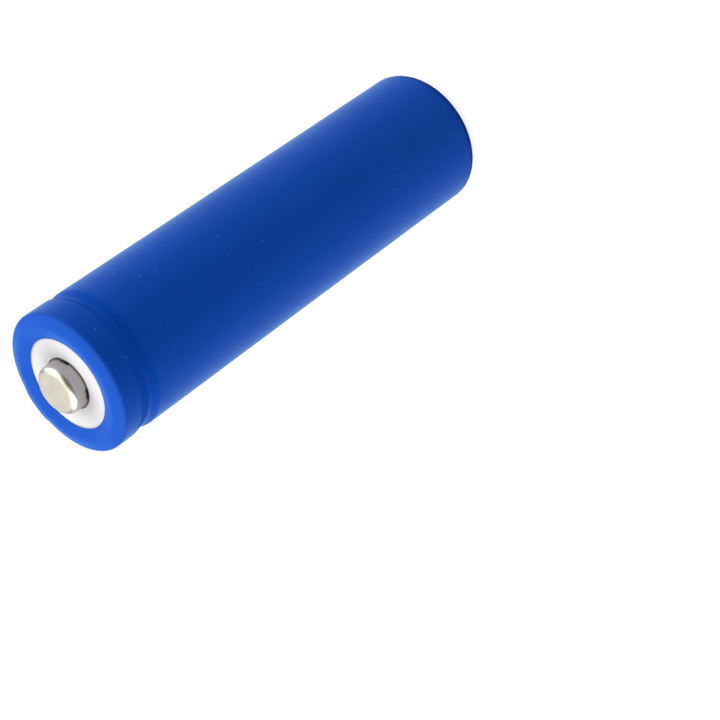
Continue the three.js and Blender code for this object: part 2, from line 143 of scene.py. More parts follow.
def round_corner(radius, height, size, start, stop, steps=8):
    """Points on a quarter or other share of a circle, with the angles in degrees."""
    angles = [math.radians(start + (stop - start) * i / steps) for i in range(steps + 1)]
    return [(radius + size * math.cos(a), height + size * math.sin(a)) for a in angles]


def lathe(name, outline, columns):
    """Spins an outline of (radius, height) points about the Z axis, and closes its poles."""
    bpy.ops.object.select_all(action="DESELECT")
    first_radius, first_height = outline[0]
    bpy.ops.mesh.primitive_circle_add(vertices=3, radius=MM, location=(first_radius, 0, first_height))
    piece = bpy.context.object
    piece.name = piece.data.name = name
    bpy.ops.object.transform_apply(location=True)
    bpy.ops.object.mode_set(mode="EDIT")
    bpy.ops.mesh.select_mode(type="VERT")
    bpy.ops.mesh.select_all(action="SELECT")
    bpy.ops.mesh.merge(type="CENTER")
    for (radius, height), (next_radius, next_height) in zip(outline, outline[1:]):
        step = (next_radius - radius, 0, next_height - height)
        bpy.ops.mesh.extrude_region_move(TRANSFORM_OT_translate={"value": step})
    bpy.ops.mesh.select_all(action="SELECT")
    bpy.ops.mesh.spin(steps=columns, angle=2 * math.pi, center=(0, 0, 0), axis=(0, 0, 1))
    bpy.ops.mesh.select_all(action="SELECT")
    bpy.ops.mesh.remove_doubles(threshold=SEAM)
    bpy.ops.mesh.dissolve_degenerate(threshold=SEAM)
    bpy.ops.mesh.select_all(action="SELECT")
    bpy.ops.mesh.normals_make_consistent(inside=False)
    bpy.ops.object.mode_set(mode="OBJECT")
    return piece


def select_faces(piece, wanted):
    """Leaves the piece in edit mode with just the wanted faces selected."""
    bpy.ops.object.mode_set(mode="EDIT")
    bpy.ops.mesh.select_mode(type="FACE")
    bpy.ops.mesh.select_all(action="DESELECT")
    bpy.ops.object.mode_set(mode="OBJECT")
    for face in piece.data.polygons:
        face.select = wanted(face)
    bpy.ops.object.mode_set(mode="EDIT")


def thicken(piece, thickness, corner=0.0):
    """Gives a skin its wall, inwards from the outline, and rounds the wall's cut edges."""
    wall = piece.modifiers.new("wall", "SOLIDIFY")
    wall.thickness = thickness
    wall.offset = -1
    wall.use_even_offset = True
    bpy.ops.object.modifier_apply(modifier=wall.name)
    if corner:
        edges = piece.modifiers.new("edges", "BEVEL")
        edges.width = corner
        edges.segments = 2
        edges.limit_method = "ANGLE"
        edges.angle_limit = CUT_EDGE_TURN
        bpy.ops.object.modifier_apply(modifier=edges.name)


def settle(piece, body="root", smooth=35):
    """Shades a piece smoothly, keeps its real corners, and lets it ride on the cell."""
    bpy.ops.object.select_all(action="DESELECT")
    piece.select_set(True)
    bpy.context.view_layer.objects.active = piece
    bpy.ops.object.shade_smooth_by_angle(angle=math.radians(smooth))
    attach(piece, body)
    print(piece.name, "has", len(piece.data.polygons), "faces")


# %% [markdown]
# ## The shrink sleeve
# The sleeve is a tube of plastic film, shrunk with hot air until it grips the can. It folds over both
# ends, bridges the bead groove as a soft waist, and shows what lies under it: the crimped collar, and
# the strip down one side. The outline gives the overall shape. The small faults of real film are then
# pushed into the points one by one.

# %% The sleeve's outline
FILM = 0.13 * MM
SIDE_RADIUS = SLEEVE_HIGH.x  # of the body and of the collar
TOP_CORNER = 0.5 * MM
TOP_CORNER_TURN = 70  # degrees of the corner before the crown takes over
TOP_CORNER_STEPS = 9  # faces round the corner
TOP_CORNER_FOOT = 0.88 * MM  # how far down the corner starts
CROWN = 7.6 * MM  # where the film round the top is highest
CROWN_CURVE = 1.3  # 1 would be a straight slope up to the crown
LIP_CURVE = -0.6  # the lip dips from its start, and most at its end
BOTTOM_SHOULDER = 1.25 * MM
BOTTOM_FLAT = 0.35 * MM  # the flat ring of film round the negative opening
COLLAR_FOOT = SLEEVE_HIGH.z - 2.95 * MM
WAIST_DEEPEST = SLEEVE_HIGH.z - 5.0 * MM  # where the can under the film is grooved
WAIST_FOOT = SLEEVE_HIGH.z - 6.3 * MM
WAIST_DEPTH = 0.4 * MM
HOLLOW = 0.02 * MM  # the film is drawn in a little between the ends
SLEEVE_COLUMNS = 256
SIDE_ROWS = 50  # on the body, and again on the short part over it
CROWN_ROWS = 6
SIDE_START = 0.6 * MM  # where the body's rows start over the lower shoulder
WAIST_MARGIN = 0.3 * MM  # where the closer rows start under the waist
CORNER_GAP = 0.05 * MM  # where they stop under the top corner


def soft_step(value, start, stop):
    """0 below start and 1 above stop, with a smooth rise between."""
    share = min(max((value - start) / (stop - start), 0.0), 1.0)
    return share * share * (3 - 2 * share)


def film_radius(height):
    """The sleeve's outside radius on its side: the body, the soft waist and the firm collar."""
    into_waist = soft_step(height, WAIST_FOOT, WAIST_DEEPEST)
    onto_collar = soft_step(height, WAIST_DEEPEST, COLLAR_FOOT)
    hollow = HOLLOW * math.sin(math.pi * min(max(height / WAIST_FOOT, 0), 1)) ** 2
    return SIDE_RADIUS - WAIST_DEPTH * (into_waist - onto_collar) - hollow


def side_points(start, stop):
    """Points up the sleeve's side from one height to another, without the last one."""
    heights = [start + (stop - start) * i / SIDE_ROWS for i in range(SIDE_ROWS)]
    return [(film_radius(height), height) for height in heights]


def crown_points(edge, edge_height):
    """From the top corner's end up to the crown, and down from it to the lip round the washer."""
    points = []
    for i in range(1, CROWN_ROWS + 1):
        share = 1 - i / CROWN_ROWS
        drop = (SLEEVE_HIGH.z - edge_height) * share ** CROWN_CURVE
        points.append((CROWN + (edge - CROWN) * share, SLEEVE_HIGH.z - drop))
    for i in range(1, CROWN_ROWS + 1):
        share = i / CROWN_ROWS
        dip = (SLEEVE_HIGH.z - top_lip) * share * soft_step(share, LIP_CURVE, 1.0)
        points.append((CROWN + (top_opening - CROWN) * share, SLEEVE_HIGH.z - dip))
    return points


def sleeve_outline():
    """From the lip at the negative end, round the shoulder, up the side and over to the positive lip."""
    low_corner = SLEEVE_LOW.z + BOTTOM_SHOULDER
    high_corner = SLEEVE_HIGH.z - TOP_CORNER_FOOT
    points = [(bottom_opening, SLEEVE_LOW.z), (bottom_opening + BOTTOM_FLAT, SLEEVE_LOW.z)]
    points += round_corner(SIDE_RADIUS - BOTTOM_SHOULDER, low_corner, BOTTOM_SHOULDER, -90, 0)
    points += side_points(low_corner + SIDE_START, WAIST_FOOT - WAIST_MARGIN)
    points += side_points(WAIST_FOOT - WAIST_MARGIN, high_corner - CORNER_GAP)
    corner = (SIDE_RADIUS - TOP_CORNER, high_corner, TOP_CORNER)
    points += round_corner(*corner, 0, TOP_CORNER_TURN, TOP_CORNER_STEPS)
    return points + crown_points(*points[-1])


outer_sleeve = lathe("shrink_sleeve", sleeve_outline(), SLEEVE_COLUMNS)
print("sleeve skin:", len(outer_sleeve.data.vertices), "points")

# %% [markdown]
# Film that has been shrunk is never quite true. It stands out over the strip it covers, it keeps a
# faint line where the tube was once pressed flat, and it puckers a little where it folds over the
# ends. Each of these faults is a small move of the points along the surface's normal. One more is a
# slide: the collar's foot lies a little aslant, so the points near it are moved down, more on one
# side than on the other.

# %% Faults of the film
FAULTS_START = 7.6 * MM  # inside this radius the film only puckers
FAULTS_FULL = 9.0 * MM
STRIP_HALF_WIDTH = math.radians(10.0)
STRIP_FADE = 1.7  # times the half width, where the film is round again
STRIP_DIRECTION = math.radians(90)  # the strip lies on the +Y side
RIDGE = 0.1 * MM
CREASE_DIRECTION = math.radians(-105)
CREASE = 0.02 * MM
CREASE_HALF_WIDTH = math.radians(1.6)
PUCKER = 0.006 * MM
PUCKERS = 22
PUCKER_DRIFT = 9  # how unevenly the puckers are spaced
PUCKER_LUMPS = 1.7
PUCKER_LENGTH = 9 * MM
PUCKERED_TOP = 1.6 * MM
PUCKERED_BOTTOM = 2.2 * MM
WOBBLE = 0.012 * MM
WOBBLE_LENGTH = 7 * MM
SLANT = 1.1 * MM  # the collar's foot lies this much lower on the +X side
SLANT_TOP = 0.9 * MM  # this far under the top nothing slides any more


def angle_between(angle, other):
    """The smaller angle between two directions round the cell."""
    return abs((angle - other + math.pi) % (2 * math.pi) - math.pi)


def film_fault(point):
    """How far one point of the film stands out of its perfect place."""
    angle = math.atan2(point.y, point.x)
    outward = soft_step(point.xy.length, FAULTS_START, FAULTS_FULL)
    strip_away = angle_between(angle, STRIP_DIRECTION)
    ridge = RIDGE * (1 - soft_step(strip_away, STRIP_HALF_WIDTH, STRIP_FADE * STRIP_HALF_WIDTH))
    opposite = CREASE_DIRECTION + math.pi
    crease_away = min(angle_between(angle, CREASE_DIRECTION), angle_between(angle, opposite))
    crease = CREASE * (1 - soft_step(crease_away, 0, CREASE_HALF_WIDTH))
    folded = max(
        soft_step(point.z, SLEEVE_HIGH.z - PUCKERED_TOP, SLEEVE_HIGH.z),
        1 - soft_step(point.z, SLEEVE_LOW.z, SLEEVE_LOW.z + PUCKERED_BOTTOM),
    )
    round_the_cell = Vector((math.cos(angle), math.sin(angle), point.z / PUCKER_LENGTH))
    spread = noise.noise(round_the_cell * PUCKER_LUMPS)
    pucker = PUCKER * folded * math.sin(PUCKERS * angle + PUCKER_DRIFT * spread) * (0.5 + spread)
    wobble = WOBBLE * noise.noise(point / WOBBLE_LENGTH)
    return outward * (ridge + crease + wobble) + pucker


def slant(point):
    """How far one point of the film slides down so that the collar's foot lies aslant."""
    near_foot = soft_step(point.z, WAIST_DEEPEST, COLLAR_FOOT)
    near_foot *= 1 - soft_step(point.z, COLLAR_FOOT, SLEEVE_HIGH.z - SLANT_TOP)
    return SLANT * near_foot * (1 + math.cos(math.atan2(point.y, point.x))) / 2


for vertex in outer_sleeve.data.vertices:
    vertex.co.z -= slant(vertex.co)
normals = [vertex.normal.copy() for vertex in outer_sleeve.data.vertices]
for vertex, normal in zip(outer_sleeve.data.vertices, normals):
    vertex.co += normal * film_fault(vertex.co)
thicken(outer_sleeve, FILM)
settle(outer_sleeve, smooth=50)
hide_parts("outer_sleeve")

# %% [markdown]
# ## The white washer
# A ring stamped from white insulating fibre lies under the sleeve's lip and keeps the button clear of
# the can's rim. A stamped edge is never sharp, so both edges are rounded, and the ring dips a little
# towards the button.

# %% The washer
WASHER_LOW, WASHER_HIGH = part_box("top_washer")
WASHER_THICKNESS = 0.27 * MM
WASHER_EDGE = 0.07 * MM
WASHER_MARGIN = 0.1 * MM  # the slope stops this far inside the outer edge
WASHER_CURVE = -0.1  # the slope starts almost level
WASHER_COLUMNS = 160
washer_hole, washer_face = inner_rim("top_washer", WASHER_LOW.z, WASHER_HIGH.z)


def washer_outline():
    """Round the ring, which is flat inside the sleeve's lip and rises over the crimped rim."""
    edge = WASHER_EDGE
    inner, outer = washer_hole, WASHER_HIGH.x
    rise = WASHER_HIGH.z - washer_face
    slope = []
    for share in (0.1, 0.3, 0.5, 0.7, 0.9):
        radius = top_opening + (outer - WASHER_MARGIN - top_opening) * share
        slope.append((radius, rise * soft_step(share, WASHER_CURVE, 1)))
    points = round_corner(inner + edge, WASHER_LOW.z + edge, edge, 180, 270, steps=3)
    points += [(radius, WASHER_LOW.z + lift) for radius, lift in slope]
    points += round_corner(outer - edge, WASHER_HIGH.z - WASHER_THICKNESS + edge, edge, -90, 0, steps=3)
    points += round_corner(outer - edge, WASHER_HIGH.z - edge, edge, 0, 90, steps=3)
    points += [(radius, washer_face + lift) for radius, lift in reversed(slope)]
    points += round_corner(inner + edge, washer_face - edge, edge, 90, 180, steps=4)
    return points + points[:1]


washer = lathe("white_washer", washer_outline(), WASHER_COLUMNS)
settle(washer)
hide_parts("top_washer")

# %% [markdown]
# ## The positive button
# The button is drawn from thin steel sheet and nickel plated. Its top edge is rounded by the press
# tool, its wall stands almost straight, and its foot turns out into a flange that is welded on. Small
# windows at the foot let gas out. The windows are faces that are deleted from the skin before it gets
# its thickness.

# %% The button
BUTTON_LOW, BUTTON_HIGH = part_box("positive_button")
BUTTON_WALL = 0.3 * MM
BUTTON_RADIUS = 3.2 * MM
BUTTON_EDGE = 0.8 * MM
EDGE_START = 1.2 * BUTTON_EDGE  # how far under the top the wall ends
WALL_LEAN = 0.02 * MM  # how far the wall leans in up to there
EDGE_LEAN = 0.03 * MM
FLAT_RADIUS = BUTTON_RADIUS - 1.3 * BUTTON_EDGE
DISHED = 0.012 * MM  # the flat of the top is pressed in this far
FLANGE_TOP = BUTTON_LOW.z + BUTTON_WALL
FOOT_BEND = 0.12 * MM
WINDOW_LOW = FLANGE_TOP + 0.14 * MM
WINDOW_HIGH = WINDOW_LOW + 0.42 * MM
WINDOW_CORNER = 0.03 * MM
WINDOW_HALF_ANGLE = math.radians(14)
WINDOWS = 4
BUTTON_COLUMNS = 192


def button_outline():
    """From the flange's rim, up the wall, round the edge and over the flat top to its middle."""
    top, edge = BUTTON_HIGH.z, BUTTON_EDGE
    radius = BUTTON_RADIUS
    points = [(BUTTON_HIGH.x, FLANGE_TOP), (radius + 2 * FOOT_BEND, FLANGE_TOP)]
    points += round_corner(radius + FOOT_BEND, FLANGE_TOP + FOOT_BEND, FOOT_BEND, 270, 180, steps=4)
    points += [(radius, WINDOW_LOW), (radius, WINDOW_HIGH)]
    points += [(radius - WALL_LEAN, top - EDGE_START)]
    points += round_corner(radius - EDGE_LEAN - edge, top - edge, edge, 0, 90, steps=14)
    dished = [(share * FLAT_RADIUS, top - DISHED) for share in (0.9, 0.6, 0.3, 0)]
    return points + dished


button = lathe("button_cap", button_outline(), BUTTON_COLUMNS)


def in_a_window(face):
    """Whether a face of the button's skin lies in one of the windows at its foot."""
    middle = face.center
    if not WINDOW_LOW < middle.z < WINDOW_HIGH:
        return False
    angle = math.atan2(middle.y, middle.x)
    centres = [2 * math.pi * (i + 0.5) / WINDOWS for i in range(WINDOWS)]
    return any(angle_between(angle, centre) < WINDOW_HALF_ANGLE for centre in centres)


select_faces(button, in_a_window)
bpy.ops.mesh.delete(type="FACE")
bpy.ops.object.mode_set(mode="OBJECT")
thicken(button, BUTTON_WALL, corner=WINDOW_CORNER)
settle(button)
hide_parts("positive_button")

# %% [markdown]
# ## The negative contact disc
# The flat end carries a pressed disc of plated steel. Its face is flat, and its rim rolls over in a
# soft bevel.

# %% The contact disc
DISC_LOW, DISC_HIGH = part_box("negative_disc")
DISC_BEVEL = 0.3 * MM
DISC_COLUMNS = 192


def disc_outline():
    """From the middle of the face, round its bevelled rim and back over its hidden side."""
    radius = DISC_HIGH.x
    faces = [(radius * share, DISC_LOW.z) for share in (0, 0.3, 0.6, 0.85)]
    rim = round_corner(radius - DISC_BEVEL, DISC_LOW.z + DISC_BEVEL, DISC_BEVEL, -90, 0)
    return faces + rim + [(radius, DISC_HIGH.z), (0, DISC_HIGH.z)]


disc = lathe("contact_disc", disc_outline(), DISC_COLUMNS)
settle(disc)
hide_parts("negative_disc")

# %% [markdown]
# ## Writing finishes as sums
# A finish is a small program for a surface. Blender shows it as boxes joined by wires, but it reads
# better as a sum, so one class stands for a wire: adding two wires adds a Math node. A second class
# adds any other kind of node to a tree of nodes, and a third is the tree of one finish. Patterns are
# measured in millimetres in the cell's own frame, so they stay put on the piece.


# %% Wires and trees of nodes
class Wire:
    """One output of a node. Arithmetic on it adds Math nodes."""

    def __init__(self, tree, socket):
        self.tree = tree
        self.socket = socket

    def math(self, operation, *values):
        inputs = dict(enumerate(values))
        return self.tree.node("ShaderNodeMath", {"operation": operation}, inputs)

    def __add__(self, other):
        return self.math("ADD", self, other)

    def __sub__(self, other):
        return self.math("SUBTRACT", self, other)

    def __rsub__(self, other):
        return self.math("SUBTRACT", other, self)

    def __mul__(self, other):
        return self.math("MULTIPLY", self, other)

    def __gt__(self, other):
        return self.math("GREATER_THAN", self, other)

    __radd__ = __add__
    __rmul__ = __mul__

    def rise(self, start, stop):
        """0 below start and 1 above stop, smoothly; with start above stop it falls instead."""
        inputs = {"Value": self, "From Min": start, "From Max": stop}
        return self.tree.node("ShaderNodeMapRange", {"interpolation_type": "SMOOTHSTEP"}, inputs)


class Tree:
    """The nodes of a material or of the world."""

    def __init__(self, node_tree):
        self.nodes = node_tree.nodes
        self.links = node_tree.links

    def node(self, kind, settings=None, inputs=None, output=0):
        """Adds a node: its settings first, then a value or a wire for each named input."""
        made = self.nodes.new(kind)
        for setting, value in (settings or {}).items():
            setattr(made, setting, value)
        for socket, value in (inputs or {}).items():
            self.feed(made.inputs[socket], value)
        return Wire(self, made.outputs[output])

    def feed(self, socket, value):
        """Gives a socket a wire, or else a value of its own."""
        if isinstance(value, Wire):
            self.links.new(value.socket, socket)
        else:
            socket.default_value = value


# %% The finish of a piece
MATT = 0.8  # the roughness of a surface without gloss


class Finish(Tree):
    """One material built on a Principled shader, whose constants are set straight on the shader."""

    def __init__(self, name, **constants):
        self.material = bpy.data.materials.new(name)
        self.material.use_nodes = True
        super().__init__(self.material.node_tree)
        self.shader = self.nodes["Principled BSDF"]
        self.set(**constants)

    def place(self):
        """Where a point is, in millimetres."""
        here = self.node("ShaderNodeTexCoord", output="Object")
        scaled = {"operation": "SCALE"}
        return self.node("ShaderNodeVectorMath", scaled, {0: here, "Scale": 1 / MM})

    def along(self, axis, place):
        """One of a place's three numbers, by the letter of its axis."""
        return self.node("ShaderNodeSeparateXYZ", inputs={"Vector": place}, output=axis)

    def radius(self, place):
        """How far a point is from the cell's axis, in millimetres."""
        flat = self.stretched(place, 1, 1, 0)
        return self.node("ShaderNodeVectorMath", {"operation": "LENGTH"}, {0: flat}, output="Value")

    def stretched(self, place, x, y, z):
        """A place with each axis scaled, which draws a pattern out along the small ones."""
        return self.node("ShaderNodeVectorMath", {"operation": "MULTIPLY"}, {0: place, 1: (x, y, z)})

    def noise(self, place, size, detail=2.0, roughness=0.5):
        """Cloudy values about 0.5, with lumps about that many millimetres across."""
        inputs = {"Vector": place, "Scale": 1 / size, "Detail": detail, "Roughness": roughness}
        return self.node("ShaderNodeTexNoise", inputs=inputs)

    def blend(self, share, first, second):
        """A colour between two others, which are sockets 6 and 7 of a Mix node, and its output 2."""
        inputs = {0: share, 6: first, 7: second}
        return self.node("ShaderNodeMix", {"data_type": "RGBA"}, inputs, output=2)

    def bump(self, height, distance):
        """Feeds a height, whose unit is a distance in millimetres, to the shader's normal."""
        inputs = {"Height": height, "Distance": distance * MM, "Strength": 1.0}
        self.feed(self.shader.inputs["Normal"], self.node("ShaderNodeBump", inputs=inputs))

    def set(self, **sockets):
        """Gives the shader's sockets wires or values, by their names with _ for a space."""
        for socket, value in sockets.items():
            self.feed(self.shader.inputs[socket.replace("_", " ")], value)

    def dulled(self, share):
        """Mixes in a copy of the shader that has no gloss, by a share that changes over the surface."""
        inputs = {"Roughness": MATT, "Specular IOR Level": 0.0}
        for socket in ("Base Color", "Normal"):
            inputs[socket] = Wire(self, self.shader.inputs[socket].links[0].from_socket)
        matt = self.node("ShaderNodeBsdfPrincipled", inputs=inputs)
        glossy = Wire(self, self.shader.outputs["BSDF"])
        mixed = self.node("ShaderNodeMixShader", inputs={0: share, 1: glossy, 2: matt})
        self.feed(self.nodes["Material Output"].inputs["Surface"], mixed)

    def paint(self, *pieces):
        """Gives pieces this finish and no other."""
        for piece in pieces:
            piece.data.materials.clear()
            piece.data.materials.append(self.material)


# %% [markdown]
# ## Shrink film
# The film is dyed PVC: deep blue seen square on, with a satin gloss that turns pale where the eye
# grazes it. Its reflection square on is weak, so the specular level is low, and a tinted sheen makes
# the pale edges. Dust makes a few pale specks, each a point of a Voronoi pattern that is kept only
# where a random value per cell is high. Thin scuffs are noise drawn out along one direction and kept
# only at its peaks.
#
# The film doesn't look the same all over, so heights and radii are turned into masks for three zones.
# Over the top it is painted a lighter blue, which is painted light for the stronger light that the top
# ring catches. Where it turns under at the negative end, and a little in the overhang under the
# collar, a dark blue is painted in, which stands for the shadow that the fold lies in. In both, a
# second shader without gloss is mixed in, because gloss that faces down would mirror the bright floor
# in a hard line.


# %% Specks and scratches
SCRATCH_FADE = 0.06  # how fast a scratch starts and ends, in units of the noise


def speckled(finish, place, spacing, size, share):
    """1 in small round dots, in a share of the cells of a pattern. Sizes are in millimetres."""
    inputs = {"Vector": place, "Scale": 1 / spacing, "Randomness": 1.0}
    away = finish.node("ShaderNodeTexVoronoi", None, inputs, output="Distance")
    cell = finish.node("ShaderNodeTexVoronoi", None, inputs, output="Color")
    pick = finish.node("ShaderNodeSeparateColor", inputs={"Color": cell})
    return away.rise(size / spacing, size / spacing / 3) * (pick > 1 - share)


def scratched(finish, place, turn, length, width, least):
    """1 along thin scratches at an angle to the axes, where drawn-out noise is over a least value."""
    inputs = {"Vector": place, "Rotation": turn, "Scale": (1 / width, 1 / length, 1 / length)}
    drawn = finish.node("ShaderNodeMapping", {"vector_type": "POINT"}, inputs)
    return finish.noise(drawn, 1.0, detail=1.0).rise(least, least + SCRATCH_FADE)


def cross_scratched(finish, place, first, second):
    """Scratches in two directions, each a dictionary of the last four arguments of scratched."""
    return scratched(finish, place, **first) + scratched(finish, place, **second)


# %% The film's finish
DEEP_BLUE = (0.001, 0.047, 0.335, 1)
CLEAR_BLUE = (0.001, 0.055, 0.380, 1)
# the lighter blue over the top is painted light
LIT_TOP_BLUE = (0.011, 0.076, 0.44, 1)
SHADED_BLUE = (0.001, 0.012, 0.09, 1)
PALE_DUST = (0.42, 0.60, 0.90, 1)
FILM_ROUGHNESS = 0.38
# Each zone goes from none at its first number to all at its second, in millimetres.
LIT_TOP_ZONE = (SLEEVE_HIGH.z / MM - 1.0, SLEEVE_HIGH.z / MM - 0.4)
TURNED_UNDER = (1.75, 0.8)
TURNED_UNDER_RADII = (8.0, 8.5)
OVERHANG = (WAIST_DEEPEST / MM, WAIST_DEEPEST / MM + 0.5)
OVER_THE_FOOT = (0.1, -0.3)


def film_zones(film, where):
    """Masks of the top, painted light, and of the film turned under and the collar's overhang, painted
    shade.
    """
    height = film.along("Z", where)
    top = height.rise(*LIT_TOP_ZONE)
    turned_under = height.rise(*TURNED_UNDER) * film.radius(where).rise(*TURNED_UNDER_RADII)
    slid = (film.along("X", where) * (MM / SIDE_RADIUS) + 1) * (SLANT / MM / 2)
    over_the_foot = height + slid - COLLAR_FOOT / MM
    overhang = height.rise(*OVERHANG) * over_the_foot.rise(*OVER_THE_FOOT)
    return top, turned_under, overhang


def paint_film():
    film = Finish(
        "blue_film",
        Specular_IOR_Level=0.05,
        Specular_Tint=(0.3, 0.9, 1.0, 1),
        Sheen_Weight=0.5,
        Sheen_Roughness=0.3,
        Sheen_Tint=(0.2, 0.70, 0.95, 1),
    )
    where = film.place()
    top, turned_under, overhang = film_zones(film, where)
    cloud = film.noise(where, size=9.0)
    grain = film.noise(where, size=0.22, detail=3)
    blue = film.blend(cloud, DEEP_BLUE, CLEAR_BLUE)
    # painted light: the top ring is painted a lighter blue
    blue = film.blend(top, blue, LIT_TOP_BLUE)
    blue = film.blend(turned_under * 0.8 + overhang * 0.1, blue, SHADED_BLUE)
    dust = speckled(film, where, spacing=1.1, size=0.075, share=0.45)
    dust = dust + speckled(film, where, spacing=0.6, size=0.045, share=0.3)
    scuffs = cross_scratched(
        film,
        where,
        {"turn": (0.5, 0.3, 0.9), "length": 1.2, "width": 0.08, "least": 0.79},
        {"turn": (1.4, 0.9, 0.2), "length": 1.0, "width": 0.07, "least": 0.79},
    )
    film.set(Base_Color=film.blend(dust * 0.5 + scuffs * 0.1, blue, PALE_DUST))
    film.set(Roughness=FILM_ROUGHNESS + grain * 0.1 + scuffs * 0.1)
    film.bump(grain, 0.006)
    film.dulled(overhang * 0.85 + turned_under * 0.9)
    film.paint(outer_sleeve)


paint_film()
print("painted the film")

# %% [markdown]
# ## White fibre
# The washer is pressed fibre, matt and almost white, with a fine mottle and a few fibres that stand
# up.


# %% The washer's finish
FIBRE_SHADE = (0.545, 0.54, 0.55, 1)
FIBRE_WHITE = (0.60, 0.595, 0.605, 1)
FIBRE_ROUGHNESS = 0.62


def paint_fibre():
    fibre = Finish("white_fibre", Specular_IOR_Level=0.3)
    where = fibre.place()
    mottle = fibre.noise(where, size=0.3, detail=5)
    strands = cross_scratched(
        fibre,
        where,
        {"turn": (0, 0, 0.4), "length": 0.6, "width": 0.05, "least": 0.7},
        {"turn": (0, 0, 2.0), "length": 0.6, "width": 0.05, "least": 0.7},
    )
    raised = mottle + strands * 0.2
    fibre.set(Base_Color=fibre.blend(raised, FIBRE_SHADE, FIBRE_WHITE))
    fibre.set(Roughness=FIBRE_ROUGHNESS + mottle * 0.2)
    fibre.bump(raised, 0.012)
    fibre.paint(washer)


paint_fibre()
print("painted the washer")

# %% [markdown]
# ## Nickel plate
# Both contacts are steel with a thin coat of nickel, which is a warm grey. On the button the plate is
# bright and a little smoother on the top and its edge, and down the wall it is painted a darker nickel,
# which is painted shade. The contact disc has been handled more: its face is stained and scratched.
# Its rolled rim is painted a brighter nickel all round, which is a painted highlight, and is smoother.


# %% The button's finish
TOP_NICKEL = ((0.68, 0.63, 0.53, 1), (0.78, 0.73, 0.62, 1))
# the darker nickel down the wall is painted shade
SHADED_WALL_NICKEL = ((0.45, 0.42, 0.37, 1), (0.56, 0.53, 0.48, 1))
TOP_NICKEL_ZONE = (BUTTON_HIGH.z / MM - 1.1, BUTTON_HIGH.z / MM - 0.5)
BUTTON_ROUGHNESS = 0.38


def paint_button():
    nickel = Finish("bright_nickel", Metallic=1.0)
    where = nickel.place()
    nickel_top = nickel.along("Z", where).rise(*TOP_NICKEL_ZONE)
    haze = nickel.noise(where, size=1.1, detail=4)
    hairlines = cross_scratched(
        nickel,
        where,
        {"turn": (0, 0, 0.7), "length": 2.0, "width": 0.05, "least": 0.74},
        {"turn": (0, 0, 2.4), "length": 1.5, "width": 0.04, "least": 0.76},
    )
    bright = nickel.blend(haze, *TOP_NICKEL)
    # painted shade: down the wall the nickel is painted darker than on the top
    shaded_wall = nickel.blend(haze, *SHADED_WALL_NICKEL)
    nickel.set(Base_Color=nickel.blend(nickel_top, shaded_wall, bright))
    nickel.set(Roughness=BUTTON_ROUGHNESS + haze * 0.1 - nickel_top * 0.07 + hairlines * 0.1)
    nickel.bump(nickel.noise(where, size=0.15, detail=3) - hairlines * 0.3, 0.003)
    nickel.paint(button)


# %% The contact disc's finish
STAINED_NICKEL = (0.33, 0.31, 0.245, 1)
CLEAN_NICKEL = (0.50, 0.475, 0.40, 1)
RIM_HIGHLIGHT_NICKEL = (0.68, 0.65, 0.57, 1)
RIM_HIGHLIGHT_ZONE = ((DISC_HIGH.x - DISC_BEVEL) / MM - 0.15, (DISC_HIGH.x - DISC_BEVEL) / MM + 0.05)
DISC_ROUGHNESS = 0.34


def paint_disc():
    nickel = Finish("worn_nickel", Metallic=1.0)
    where = nickel.place()
    rim = nickel.radius(where).rise(*RIM_HIGHLIGHT_ZONE)
    stain = nickel.noise(where, size=1.5, detail=6, roughness=0.7).rise(0.36, 0.64)
    fine_stain = nickel.noise(where, size=0.3, detail=4, roughness=0.7).rise(0.3, 0.7)
    hairlines = cross_scratched(
        nickel,
        where,
        {"turn": (0, 0, 0.5), "length": 3.0, "width": 0.05, "least": 0.6},
        {"turn": (0, 0, 2.2), "length": 2.5, "width": 0.04, "least": 0.62},
    )
    face = nickel.blend(stain * 0.7 + fine_stain * 0.3, STAINED_NICKEL, CLEAN_NICKEL)
    # painted highlight: the rolled rim is painted a brighter nickel all round
    nickel.set(Base_Color=nickel.blend(rim, face, RIM_HIGHLIGHT_NICKEL))
    nickel.set(Roughness=DISC_ROUGHNESS + stain * 0.16 - rim * 0.14 + hairlines * 0.1)
    nickel.bump(fine_stain * 0.6 - hairlines * 0.5, 0.005)
    nickel.paint(disc)


paint_button()
paint_disc()
print("painted both contacts")

# %% [markdown]
# ## Pieces that the sleeve hides
# Nothing inside a closed cell is seen until it is opened, but each piece still has the look of its
# own stuff: drawn steel has streaks along the way it was drawn, paper and coatings are grainy, and
# moulded plastic is only faintly uneven. One function makes such a finish from two colours and the
# size of its grain.


# %% Finishes of the hidden pieces
ALONG_THE_CELL = (1, 1, 0.06)  # grain drawn out along the cell
ACROSS_THE_CELL = (0.08, 1, 1)
ALONG_THE_PAPER = (1, 0.35, 1)
EVEN = (1, 1, 1)


def grained(name, dark, light, size, roughness, spread, bump, stretch=EVEN, **constants):
    """A finish between two colours, by a noise whose grain also roughens and raises it."""
    finish = Finish(name, **constants)
    grain = finish.noise(finish.stretched(finish.place(), *stretch), size, detail=4)
    share = grain.rise(0.3, 0.7)
    finish.set(Base_Color=finish.blend(share, (*dark, 1), (*light, 1)))
    finish.set(Roughness=roughness + share * spread)
    finish.bump(grain, bump)
    return finish


def nodes(*names):
    return [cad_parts[name] for name in names]


